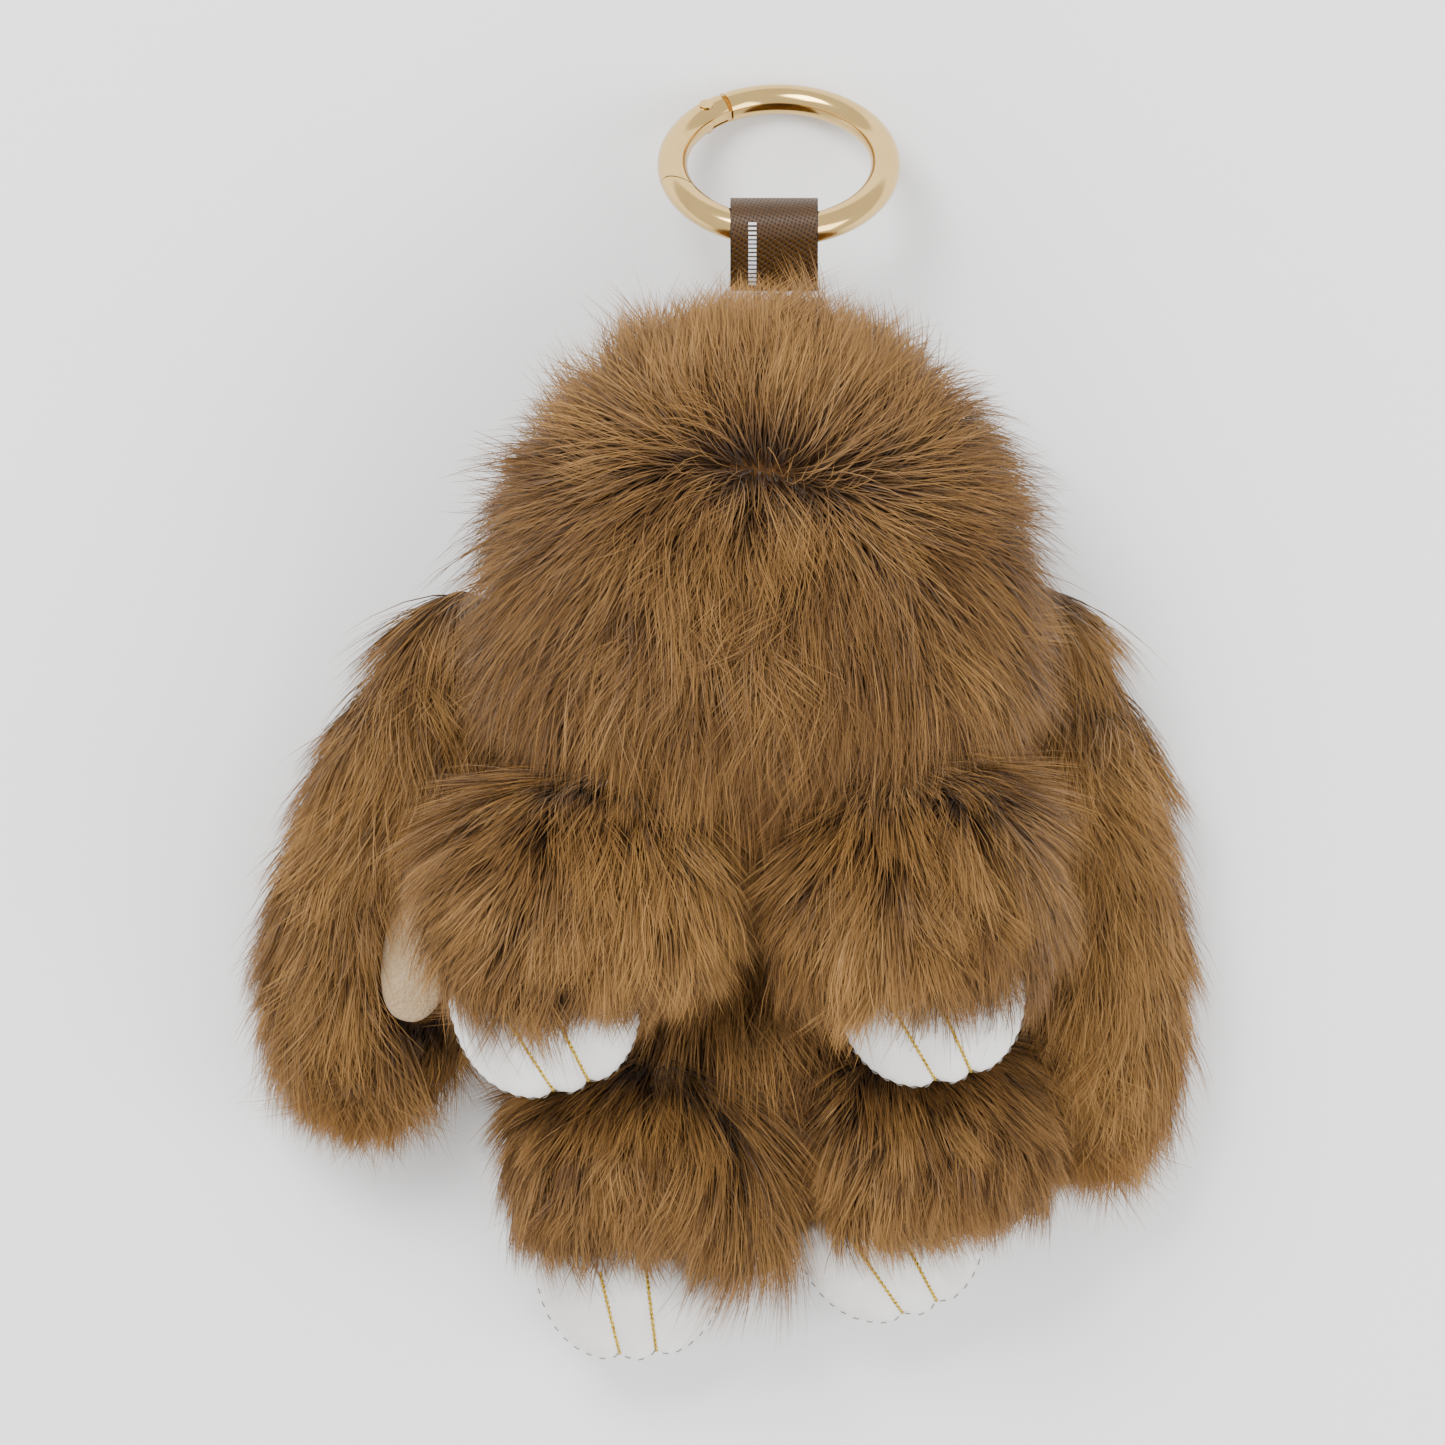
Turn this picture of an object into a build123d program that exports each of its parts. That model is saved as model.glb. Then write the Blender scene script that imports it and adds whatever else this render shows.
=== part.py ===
from build123d import *
import math
import os

# A furry bunny key charm, lying on its back as it does on a table: +Z is up, +Y runs from the feet
# to the head and on to the key ring, +X is to the right of someone looking down at it. The origin
# is on the table, at the middle of the charm's length and width. Sizes are in millimetres.

os.makedirs("parts", exist_ok=True)

# ---- driving dimensions ----------------------------------------------------------------------
charm_width = 127.8                     # over the two ears
charm_length = 175.2                    # from the toes to the far side of the ring
clearance = 0.4                         # between soft bodies that move past each other
end_flat = 6.0                          # degrees of a ball's profile left flat at each end

# head and body, each a flattened or drawn-out ball measured out to the tips of the standing fur
head_centre = Vector(4.3, 20.3, 31.0)
head_radius = 39.0                      # seen from above
head_half_depth = 34.0
body_centre = Vector(3.4, -36.5, 12.5)
body_radius = 21.0                      # seen from above
body_half_depth = 16.0
fur_depth = 12.0                        # pile and backing of the head
body_fur_depth = 8.5                    # pile and backing of the body
limb_fur_depth = 8.0                    # pile and backing of a sleeve
stuffing_gap = 0.15

# ears
ear_half_width = 17.0
ear_half_length = 39.0
ear_thickness = 21.0
ear_rounding = 6.0
ear_y = -22.0
left_ear_splay = 7.0                    # degrees that an ear leans outwards
right_ear_splay = 3.0
ear_lining_border = 8.0                 # fur left showing round the lining
ear_lining_thickness = 1.6
ear_root_x = 42.5                       # the sewn root that an ear swings about
ear_root_y = 15.5

# arms and legs
sleeve_radius = 17.5                    # seen along the limb
sleeve_half_length = 16.5
arm_centre_z = 42.0
leg_centre_z = 16.0

# a paw is three toes side by side, in leather over stuffing
toe_radius = 6.5
toe_length = 15.0                       # from the cuff to the tip
toe_pitch = 6.4                         # from the middle of one toe to the next
leather = 1.0
thread_radius = 0.3
thread_start_angle = 4.0                # a thread's path, in degrees up from the paw's tip
thread_sweep_angle = 72.0
stitch_size = Vector(0.9, 0.3, 0.3)
stitches_per_toe = 7
middle_seam_spread = 24.0               # degrees of seam to each side of a toe's tip
outer_seam_spread = 38.0
outer_seam_turn = 14.0                  # degrees that an outer toe's seam turns towards the side

# key ring: a spring-gate ring bent from round wire
ring_inner_diameter = 25.0
wire_radius = 2.05
ring_lean = 49.5                        # degrees between the ring's axis and straight up
ring_x = 7.4
hinge_angle = 133.0                     # places on the ring run from +X round by the far side
tongue_root_angle = 119.6               # where the wire ends and its tongue begins
gate_top_angle = 122.6
latch_angle = 207.0                     # the step that stops the gate
latch_slope = 26.0                      # degrees that the step slants, so that the gate can leave it
latch_lip_angle = 226.0                 # how far the gate's lip laps along the inside of the wire
latch_lip = 0.85                        # lip thickness
gate_gap = 0.12
pin_radius = 0.6
pin_head_radius = 0.95
pin_head_height = 0.3
pin_end_inset = 0.1
pin_clearance = 0.05
tongue_thickness = 1.3
tongue_radius = 1.75
slot_radius = 2.1
slot_thickness = 1.5
bore_angle = 152.0                      # the middle of the spring's bore
bore_half_angle = 10.0
bore_radius = 0.85
bore_run_in = 0.6                       # how far the bore starts before its pin
push_pin_length = 2.2
push_pin_rounding = 0.3
running_gap = 0.05
wire_overlap_angle = 12.0               # wire made past each cut, in degrees, and cut back to it
slot_overlap_angle = 1.0
spring_wire_radius = 0.12
spring_turns = 6

# leather strap
strap_width = 11.9
strap_x = 6.7
strap_leather = 0.45
strap_lining_thickness = 0.3
strap_loop_clearance = 0.45
lining_gap = 0.02                       # glue between lining and leather
root_hole_radius = 0.05                 # the point of the drop-shaped space in the loop
strap_stitch_from_edge = 3.0
strap_stitch_pitch = 0.62
strap_stitch_count = 15
strap_stitch_start = 0.6
strap_stitch_size = Vector(1.1, 0.34, 0.16)

# ---- places worked out from the sizes --------------------------------------------------------
valley = math.sqrt(1 - (toe_pitch / 2 / toe_radius) ** 2)
thread_run = toe_length * valley + 1.5 * thread_radius
thread_rise = toe_radius * valley + 1.5 * thread_radius
ring_radius = ring_inner_diameter / 2 + wire_radius
lean = math.radians(ring_lean)
ring_axis = Vector(0, math.sin(lean), math.cos(lean))
ring_down = Vector(0, math.cos(lean), -math.sin(lean))
ring_centre = Vector(
    ring_x,
    charm_length / 2 - ring_radius * math.cos(lean) - wire_radius,
    ring_radius * math.sin(lean) + wire_radius,
)
ring_plane = Plane(origin=ring_centre, x_dir=(1, 0, 0), z_dir=ring_axis)

# the wire bows across the strap's width, so the loop's middle is half that bow inside the wire
half_strap = strap_width / 2 + abs(ring_x - strap_x)
wire_bow = ring_radius - math.sqrt(ring_radius**2 - half_strap**2)
loop_centre = ring_centre - ring_down * (ring_radius - wire_bow / 2)
loop_inner = wire_radius + wire_bow / 2 + strap_loop_clearance
loop_middle = loop_inner + strap_lining_thickness
loop_outer = loop_middle + strap_leather
strap_root = Vector(strap_x, head_centre.Y + head_radius, loop_centre.Z)


def egg(centre, long_way, seam_way, half_length, radius, belted=False):
    """A ball drawn out or flattened along one direction, round in the other two.

    seam_way is the side where the turned face closes. Each end has a small flat. A belted ball has
    an edge round its widest line, which a much flattened one needs to keep its true extent."""
    stops = [end_flat, 90, 180 - end_flat] if belted else [end_flat, 180 - end_flat]
    with BuildPart() as ball:
        with BuildSketch(Plane(origin=centre, x_dir=long_way, z_dir=long_way.cross(seam_way))):
            with BuildLine():
                arcs = [
                    EllipticalCenterArc((0, 0), half_length, radius, start, arc_size=stop - start)
                    for start, stop in zip(stops, stops[1:])
                ]
                first = arcs[0] @ 0
                last = arcs[-1] @ 1
                Polyline(first, (first.X, 0), (last.X, 0), last)
            make_face()
        revolve(axis=Axis(centre, long_way))
    return ball.part


def beyond(plane):
    """A block that fills everything on the far side of a plane, for cutting a piece square."""
    with BuildPart() as block:
        with BuildSketch(plane):
            Rectangle(2 * charm_length, 2 * charm_length)
        extrude(amount=charm_length)
    return block.part


def finish(piece, name):
    """Label a finished piece and write it to its own file."""
    piece.part.label = name
    export_step(piece.part, f"parts/{name}.step")


# ---- head: a fur cover sewn from panels, stuffed firm ----------------------------------------
upwards = Vector(0, 0, 1)
feetwards = Vector(0, -1, 0)


def head_egg(grow):
    """The head's shape, grown or shrunk all round."""
    return egg(head_centre, upwards, feetwards, head_half_depth + grow, head_radius + grow)


head_shape = head_egg(0)
head_core = head_egg(-fur_depth)
head_stuffed = head_egg(-fur_depth - stuffing_gap)
head_room = head_egg(clearance)
under_table = beyond(Plane(origin=(0, 0, 0), z_dir=(0, 0, -1)))

with BuildPart() as head_fur:
    add(head_shape)
    add(under_table, mode=Mode.SUBTRACT)
    add(head_core, mode=Mode.SUBTRACT)
    with Locations(Location(strap_root, (0, 90, 0))):
        Cylinder(
            radius=strap_leather + strap_lining_thickness + clearance,
            height=strap_width + 2 * clearance,
            mode=Mode.SUBTRACT,
        )

with BuildPart() as head_stuffing:
    add(head_stuffed)

# ---- body: behind the arms, cut away where the legs are set in -------------------------------
arm_places = {
    "left": Vector(-18.5, -31.0, arm_centre_z),
    "right": Vector(25.0, -32.0, arm_centre_z),
}
leg_places = {
    "left": Vector(-11.0, -66.0, leg_centre_z),
    "right": Vector(27.5, -62.5, leg_centre_z),
}


def body_egg(grow, belted=False):
    """The body's shape, grown or shrunk all round."""
    return egg(
        body_centre, upwards, feetwards, body_half_depth + grow, body_radius + grow, belted
    )


body_shape = body_egg(0)
body_core = body_egg(-body_fur_depth)
body_stuffed = body_egg(-body_fur_depth - stuffing_gap, belted=True)
leg_room = sleeve_radius + clearance
leg_pockets = [egg(leg_places[side], upwards, feetwards, leg_room, leg_room) for side in leg_places]

with BuildPart() as body_fur:
    add(body_shape)
    add(under_table, mode=Mode.SUBTRACT)
    add(leg_pockets, mode=Mode.SUBTRACT)
    add(body_core, mode=Mode.SUBTRACT)

with BuildPart() as body_stuffing:
    add(body_stuffed)

for name, piece in {
    "head_fur": head_fur,
    "head_stuffing": head_stuffing,
    "body_fur": body_fur,
    "body_stuffing": body_stuffing,
}.items():
    finish(piece, name)


# ---- ears: long and flat, furred outside, with a short pale lining let into the upper face ----
def ear(side, yaw):
    """One ear's fur and lining, reaching out to the edge of the charm's width."""
    sign = -1 if side == "left" else 1
    turn = math.radians(yaw)
    reach = math.hypot(ear_half_width * math.cos(turn), ear_half_length * math.sin(turn))
    middle = Plane(origin=(sign * (charm_width / 2 - reach), ear_y, 0)).rotated((0, 0, yaw))
    lining_width = ear_half_width - ear_lining_border
    lining_length = ear_half_length - ear_lining_border
    lining_floor = ear_thickness - ear_lining_thickness
    with BuildPart() as ear_fur:
        with BuildSketch(middle):
            Ellipse(ear_half_width, ear_half_length)
        extrude(amount=ear_thickness)
        fillet(ear_fur.edges().group_by(Axis.Z)[-1], ear_rounding)
        fillet(ear_fur.edges().group_by(Axis.Z)[0], ear_rounding)
        with BuildSketch(middle.offset(lining_floor)):
            Ellipse(lining_width + stuffing_gap, lining_length + stuffing_gap)
        extrude(amount=ear_thickness, mode=Mode.SUBTRACT)
        add([head_room, *leg_pockets], mode=Mode.SUBTRACT)
    with BuildPart() as ear_lining:
        with BuildSketch(middle.offset(lining_floor)):
            Ellipse(lining_width, lining_length)
        extrude(amount=ear_lining_thickness)
        add(head_room, mode=Mode.SUBTRACT)
    finish(ear_fur, f"{side}_ear_fur")
    finish(ear_lining, f"{side}_ear_lining")


ear("left", -left_ear_splay)
ear("right", right_ear_splay)


# ---- arms and legs: a fur sleeve, stuffing, and a three-toed leather paw ---------------------
def toes(frame, shrink):
    """The three toes of a paw, side by side across its frame."""
    return [
        egg(
            frame.from_local_coords(Vector(i * toe_pitch, 0, 0)),
            frame.y_dir,
            frame.x_dir,
            toe_length - shrink,
            toe_radius - shrink,
        )
        for i in (-1, 0, 1)
    ]


def limb(name, centre, cuff, yaw, on_table):
    """A limb's pieces. cuff is where the paw comes out of the sleeve."""
    frame = Plane(origin=cuff).rotated((0, 0, yaw))
    sleeve_shape, core, filling = [
        egg(centre, frame.y_dir, frame.x_dir, sleeve_half_length - depth, sleeve_radius - depth)
        for depth in (0, limb_fur_depth, limb_fur_depth + stuffing_gap)
    ]
    paw = toes(frame, 0)
    paw_core = toes(frame, leather)
    paw_filling = toes(frame, leather + stuffing_gap)
    paw_side = beyond(Plane(origin=cuff, z_dir=-frame.y_dir))
    sleeve_side = beyond(Plane(origin=cuff - frame.y_dir * stuffing_gap, z_dir=frame.y_dir))
    top_side = beyond(frame)
    under_side = beyond(Plane(origin=cuff, z_dir=-frame.z_dir))
    with BuildPart() as sleeve:
        add(sleeve_shape)
        add(core, mode=Mode.SUBTRACT)
        add(paw_side, mode=Mode.SUBTRACT)
        if on_table:
            add(under_table, mode=Mode.SUBTRACT)
    with BuildPart() as stuffing:
        add(filling)
        add(paw_side, mode=Mode.SUBTRACT)
    with BuildPart() as paw_stuffing:
        add(paw_filling)
        add(sleeve_side, mode=Mode.SUBTRACT)
    with BuildPart() as upper:
        add(paw)
        add(paw_core, mode=Mode.SUBTRACT)
        add([sleeve_side, under_side], mode=Mode.SUBTRACT)
    with BuildPart() as sole:
        add(paw)
        add(paw_core, mode=Mode.SUBTRACT)
        add([sleeve_side, top_side], mode=Mode.SUBTRACT)
    with BuildPart() as threads:
        for offset in (-toe_pitch / 2, toe_pitch / 2):
            spot = frame.from_local_coords(Vector(offset, 0, 0))
            with BuildLine(Plane(origin=spot, x_dir=-frame.y_dir, z_dir=-frame.x_dir)) as path:
                EllipticalCenterArc(
                    (0, 0), thread_run, thread_rise, thread_start_angle, arc_size=thread_sweep_angle
                )
            with BuildSketch(Plane(origin=path.line @ 0, z_dir=path.line % 0)):
                Circle(thread_radius)
            sweep(path=path.line)
    with BuildPart() as seam:
        for i in (-1, 0, 1):
            spread = middle_seam_spread if i == 0 else outer_seam_spread
            for step in range(stitches_per_toe):
                turn = -90 + outer_seam_turn * i + spread * (2 * step / (stitches_per_toe - 1) - 1)
                side_way = math.cos(math.radians(turn))
                down_way = math.sin(math.radians(turn))
                spot = frame.from_local_coords(
                    Vector(
                        i * toe_pitch + (toe_radius + stitch_size.Z) * side_way,
                        (toe_length + stitch_size.Z) * down_way,
                        0,
                    )
                )
                facing = math.degrees(math.atan2(toe_length * side_way, -toe_radius * down_way))
                with Locations(Location(spot, (0, 0, yaw + facing))):
                    Box(stitch_size.X, stitch_size.Y, stitch_size.Z)
    pieces = {
        "fur": sleeve,
        "stuffing": stuffing,
        "paw_stuffing": paw_stuffing,
        "paw_upper": upper,
        "paw_sole": sole,
        "paw_threads": threads,
        "paw_stitching": seam,
    }
    for label, piece in pieces.items():
        finish(piece, f"{name}_{label}")


arms_and_legs = [
    ("left_arm", arm_places["left"], Vector(-24.5, -38.0, 36.0), 24.0, False),
    ("right_arm", arm_places["right"], Vector(26.0, -36.5, 36.0), 12.0, False),
    ("left_leg", leg_places["left"], Vector(-13.2, -71.75, 13.0), 4.0, True),
    ("right_leg", leg_places["right"], Vector(20.5, -68.0, 13.0), 19.0, True),
]
for arm_or_leg in arms_and_legs:
    limb(*arm_or_leg)


# ---- key ring: a C of wire with a tongue, a forked gate on a pin, a spring and its push pin ---
def on_ring(angle, radius=ring_radius, height=0.0):
    """A point of the ring's own plane, at an angle and a radius from the ring's middle."""
    turn = math.radians(angle)
    return ring_plane.from_local_coords(Vector(radius * math.cos(turn), radius * math.sin(turn), height))


def wire_arc(start, end):
    """A stretch of the ring's round wire, from one angle to another."""
    turn = math.radians(start)
    radial = ring_plane.x_dir * math.cos(turn) + ring_plane.y_dir * math.sin(turn)
    section = Plane(origin=ring_centre, x_dir=radial, z_dir=radial.cross(ring_axis))
    with BuildPart() as wire:
        with BuildSketch(section):
            with Locations((ring_radius, 0)):
                Circle(wire_radius)
        revolve(axis=Axis(ring_centre, ring_axis), revolution_arc=end - start)
    return wire.part


def polar(angle, radius):
    """A point in the ring plane's own two coordinates."""
    return Vector(radius * math.cos(math.radians(angle)), radius * math.sin(math.radians(angle)))


pin_spot = polar(hinge_angle, ring_radius)
pin_half = wire_radius - pin_end_inset
pin_plane = Plane(origin=on_ring(hinge_angle), x_dir=ring_plane.x_dir, z_dir=ring_axis)
lip_radius = ring_inner_diameter / 2 + latch_lip
step = polar(latch_angle, lip_radius)
lip_end = polar(latch_lip_angle, lip_radius)
far = ring_radius + 3 * wire_radius
step_outside = step.Y + (far + step.X) * math.tan(math.radians(latch_slope))
latch_line = [(-far, step_outside), (step.X, step.Y), (lip_end.X, lip_end.Y), (0, lip_end.Y)]
body_latch = [(x - gate_gap, y - gate_gap) for x, y in latch_line]
ring_wire = wire_arc(latch_angle - wire_overlap_angle, tongue_root_angle + 360)
gate_wire = wire_arc(gate_top_angle, latch_lip_angle + wire_overlap_angle)
tongue_start = tongue_root_angle - slot_overlap_angle
tongue_turn = hinge_angle - tongue_start

with BuildPart() as ring_body:
    add(ring_wire)
    with BuildSketch(ring_plane):
        with BuildLine():
            Polyline(*body_latch, (0, 0), (-far, 0), close=True)
        make_face()
    extrude(amount=far, both=True, mode=Mode.SUBTRACT)
    with BuildSketch(ring_plane.offset(-tongue_thickness / 2)):
        with BuildLine():
            outer = CenterArc((0, 0), ring_radius + tongue_radius, tongue_start, tongue_turn)
            inner = CenterArc((0, 0), ring_radius - tongue_radius, tongue_start, tongue_turn)
            Line(outer @ 0, inner @ 0)
            Line(outer @ 1, inner @ 1)
        make_face()
        with Locations(pin_spot):
            Circle(tongue_radius)
    extrude(amount=tongue_thickness)
    with BuildSketch(pin_plane):
        Circle(pin_radius + pin_clearance)
    extrude(amount=far, both=True, mode=Mode.SUBTRACT)

with BuildPart() as ring_gate:
    add(gate_wire)
    with BuildSketch(ring_plane):
        with BuildLine():
            Polyline(*latch_line, (0, -far), (-far, -far), close=True)
        make_face()
    extrude(amount=far, both=True, mode=Mode.SUBTRACT)
    with BuildSketch(ring_plane.offset(-slot_thickness / 2)):
        with BuildLine():
            outer = CenterArc((0, 0), ring_radius + 2 * wire_radius, tongue_start, tongue_turn)
            inner = CenterArc((0, 0), ring_radius - 2 * wire_radius, tongue_start, tongue_turn)
            Line(outer @ 0, inner @ 0)
            Line(outer @ 1, inner @ 1)
        make_face()
        with Locations(pin_spot):
            Circle(slot_radius)
    extrude(amount=slot_thickness, mode=Mode.SUBTRACT)
    with BuildSketch(pin_plane):
        Circle(pin_radius)
    extrude(amount=far, both=True, mode=Mode.SUBTRACT)
    for seat in (pin_plane.offset(pin_half), pin_plane.offset(-pin_half - pin_head_height)):
        with BuildSketch(seat):
            Circle(pin_head_radius + running_gap)
        extrude(amount=pin_head_height, mode=Mode.SUBTRACT)
    bore_start = on_ring(bore_angle - bore_half_angle)
    bore_end = on_ring(bore_angle + bore_half_angle)
    bore_axis = (bore_end - bore_start).normalized()
    bore_plane = Plane(origin=bore_start - bore_axis * bore_run_in, z_dir=bore_axis)
    with BuildSketch(bore_plane):
        Circle(bore_radius)
    extrude(amount=(bore_end - bore_start).length + bore_run_in, mode=Mode.SUBTRACT)

with BuildPart() as gate_pin:
    with BuildSketch(pin_plane):
        Circle(pin_radius)
    extrude(amount=pin_half, both=True)
    for end in (pin_plane.offset(pin_half), pin_plane.offset(-pin_half - pin_head_height)):
        with BuildSketch(end):
            Circle(pin_head_radius)
        extrude(amount=pin_head_height)

with BuildPart() as gate_push_pin:
    with BuildSketch(Plane(origin=bore_start, z_dir=bore_axis)):
        Circle(bore_radius - running_gap)
    extrude(amount=push_pin_length)
    inner_end = gate_push_pin.faces().sort_by(Axis(bore_start, bore_axis))[0]
    fillet(inner_end.edges(), push_pin_rounding)

spring_start = bore_start + bore_axis * (push_pin_length + running_gap + spring_wire_radius)
spring_length = (bore_end - spring_start).length - running_gap - spring_wire_radius
with BuildPart() as gate_spring:
    coil_radius = bore_radius - running_gap - spring_wire_radius
    with BuildLine() as coil:
        Helix(
            pitch=spring_length / spring_turns,
            height=spring_length,
            radius=coil_radius,
            center=spring_start,
            direction=bore_axis,
        )
    with BuildSketch(Plane(origin=coil.line @ 0, z_dir=coil.line % 0)):
        Circle(spring_wire_radius)
    sweep(path=coil.line, is_frenet=True)

for name, piece in {
    "ring_body": ring_body,
    "ring_gate": ring_gate,
    "gate_pin": gate_pin,
    "gate_push_pin": gate_push_pin,
    "gate_spring": gate_spring,
}.items():
    finish(piece, name)

# ---- strap: one strip of leather with a lining, folded round the wire and sewn into the head --
strap_plane = Plane.YZ.offset(strap_x)
root_spot = (strap_root.Y, strap_root.Z)
loop_spot = (loop_centre.Y, loop_centre.Z)
fold_length = loop_centre.Y - strap_root.Y
cavity_spot = (strap_root.Y + fold_length / 3, strap_root.Z)


def fold(loop_radius, end_spot, end_radius, half_width):
    """A drop-shaped bar: the loop at one end, drawn in to a round of end_radius at the other."""
    with BuildPart() as bar:
        with BuildSketch(strap_plane):
            with Locations(loop_spot):
                Circle(loop_radius)
            with Locations(end_spot):
                Circle(end_radius)
            make_hull()
        extrude(amount=half_width, both=True)
    return bar.part


tab_half = strap_leather + strap_lining_thickness
half_width = strap_width / 2
leather_outside = fold(loop_outer, root_spot, tab_half, half_width)
leather_inside = fold(loop_middle, root_spot, strap_lining_thickness, strap_width)
lining_outside = fold(
    loop_middle - lining_gap, root_spot, strap_lining_thickness - lining_gap, half_width
)
lining_inside = fold(loop_inner, cavity_spot, root_hole_radius, strap_width)

with BuildPart() as strap_cover:
    add(leather_outside)
    add(leather_inside, mode=Mode.SUBTRACT)

with BuildPart() as strap_lining:
    add(lining_outside)
    add(lining_inside, mode=Mode.SUBTRACT)

slope = math.asin((loop_outer - tab_half) / fold_length)
flat_length = fold_length * math.cos(slope)
stitch_x = strap_x - strap_width / 2 + strap_stitch_from_edge
with BuildPart() as strap_stitching:
    for count in range(strap_stitch_count):
        along = strap_stitch_start + count * strap_stitch_pitch
        if along < flat_length:
            tilt = slope
            foot = strap_root + Vector(0, -math.sin(slope), math.cos(slope)) * tab_half
            spot = foot + Vector(0, math.cos(slope), math.sin(slope)) * along
        else:
            tilt = slope - (along - flat_length) / loop_outer
            spot = loop_centre + Vector(0, -math.sin(tilt), math.cos(tilt)) * loop_outer
        spot = spot + Vector(0, -math.sin(tilt), math.cos(tilt)) * (strap_stitch_size.Z / 2 + lining_gap)
        with Locations(Location((stitch_x, spot.Y, spot.Z), (math.degrees(tilt), 0, 0))):
            Box(strap_stitch_size.X, strap_stitch_size.Y, strap_stitch_size.Z)

for name, piece in {
    "strap_cover": strap_cover,
    "strap_lining": strap_lining,
    "strap_stitching": strap_stitching,
}.items():
    finish(piece, name)

# ---- joint places, in metres -----------------------------------------------------------------
ear_roots = {
    "left": Vector(-ear_root_x, ear_root_y, ear_thickness / 2),
    "right": Vector(ear_root_x, ear_root_y, ear_thickness / 2),
}
for name, spot in {
    "left_ear_swing": ear_roots["left"],
    "right_ear_swing": ear_roots["right"],
    "left_arm_lift": arm_places["left"],
    "right_arm_lift": arm_places["right"],
    "left_leg_lift": leg_places["left"],
    "right_leg_lift": leg_places["right"],
    "strap_bend": strap_root,
    "ring_swing": loop_centre,
    "gate_open": on_ring(hinge_angle),
    "ring axis (direction)": ring_axis * 1000,
}.items():
    print(name, [round(value / 1000, 6) for value in spot])
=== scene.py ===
# %% [markdown]
# # A furry bunny key charm
#
# The charm is a small stuffed bunny in long-pile fake fur. It has four white leather paws with gold
# threads, a leather strap sewn into the top of its head, and a gold ring with a spring gate.
#
# The mechanical model comes first and stays fixed. Everything here is built around it, in metres,
# with +Z up from the table and +Y from the feet to the ring.

# %% Load the mechanical model
import bpy
import math
import numpy as np
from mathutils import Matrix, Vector, kdtree


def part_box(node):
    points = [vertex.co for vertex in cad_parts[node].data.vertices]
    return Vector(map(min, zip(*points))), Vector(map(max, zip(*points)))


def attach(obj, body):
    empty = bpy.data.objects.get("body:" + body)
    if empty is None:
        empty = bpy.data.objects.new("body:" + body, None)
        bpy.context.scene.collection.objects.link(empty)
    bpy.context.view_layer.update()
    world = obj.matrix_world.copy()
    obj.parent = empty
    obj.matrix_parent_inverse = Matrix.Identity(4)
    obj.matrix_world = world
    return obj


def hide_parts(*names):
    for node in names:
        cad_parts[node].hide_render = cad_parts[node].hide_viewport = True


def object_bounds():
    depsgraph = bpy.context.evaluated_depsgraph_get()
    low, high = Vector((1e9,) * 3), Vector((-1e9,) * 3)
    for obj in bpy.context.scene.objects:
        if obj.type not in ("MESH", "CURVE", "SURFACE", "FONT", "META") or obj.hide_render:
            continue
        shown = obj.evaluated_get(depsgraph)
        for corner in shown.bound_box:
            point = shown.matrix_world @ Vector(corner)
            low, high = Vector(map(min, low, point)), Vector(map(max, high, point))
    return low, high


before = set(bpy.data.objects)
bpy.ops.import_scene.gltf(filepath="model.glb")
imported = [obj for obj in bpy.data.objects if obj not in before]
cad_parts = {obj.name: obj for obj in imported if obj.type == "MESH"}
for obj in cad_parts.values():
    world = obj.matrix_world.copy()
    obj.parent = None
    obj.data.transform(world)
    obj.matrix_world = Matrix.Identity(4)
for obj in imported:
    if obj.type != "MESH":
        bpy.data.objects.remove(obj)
cad_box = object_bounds()
mm = 0.001
low, high = (np.array(corner) for corner in cad_box)
print("the charm measures", ((high - low) / mm).round(1), "mm")

# %% [markdown]
# ## Camera
#
# The charm lies on a table and is seen from straight above. A long lens from two metres away keeps
# the raised arms from looking larger than the feet.

# %% Camera
camera_height = 2.0
picture_width = 195.5 * mm
sensor_width = 36.0
focus_height = 30 * mm

lens = bpy.data.cameras.new("camera")
lens.sensor_width = sensor_width
lens.lens = sensor_width * (camera_height - focus_height) / picture_width
lens.clip_end = 10
camera = bpy.data.objects.new("camera", lens)
camera.location = (-0.3 * mm, 0, camera_height)
bpy.context.scene.collection.objects.link(camera)
bpy.context.scene.camera = camera
print("lens", round(lens.lens), "mm")

# %% [markdown]
# ## Writing finishes as sums
#
# A finish is a graph of nodes. Written one node at a time, it hides the idea behind it, so a small
# class wraps a socket and makes each sum on it a Math node. `1 - mask` is then three characters and
# one node. Every other node comes from one method, `Finish.node`.


# %% A socket that can be added and multiplied
class Value:
    """An output socket of a finish, for use in sums."""

    def __init__(self, finish, socket):
        self.finish = finish
        self.socket = socket

    def maths(self, operation, *values):
        return self.finish.node("ShaderNodeMath", {"operation": operation}, *values)

    def __add__(self, other):
        return self.maths("ADD", self, other)

    def __sub__(self, other):
        return self.maths("SUBTRACT", self, other)

    def __rsub__(self, other):
        return self.maths("SUBTRACT", other, self)

    def __mul__(self, other):
        return self.maths("MULTIPLY", self, other)

    def __gt__(self, other):
        return self.maths("GREATER_THAN", self, other)

    __radd__ = __add__
    __rmul__ = __mul__

    def sine(self):
        return self.maths("SINE", self)

    def size(self):
        return self.maths("ABSOLUTE", self)

    def spread(self, start, end):
        """0 below start, 1 above end, and smooth between."""
        ease = {"interpolation_type": "SMOOTHSTEP"}
        values = {"Value": self, "From Min": start, "From Max": end}
        return self.finish.node("ShaderNodeMapRange", ease, **values)


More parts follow.
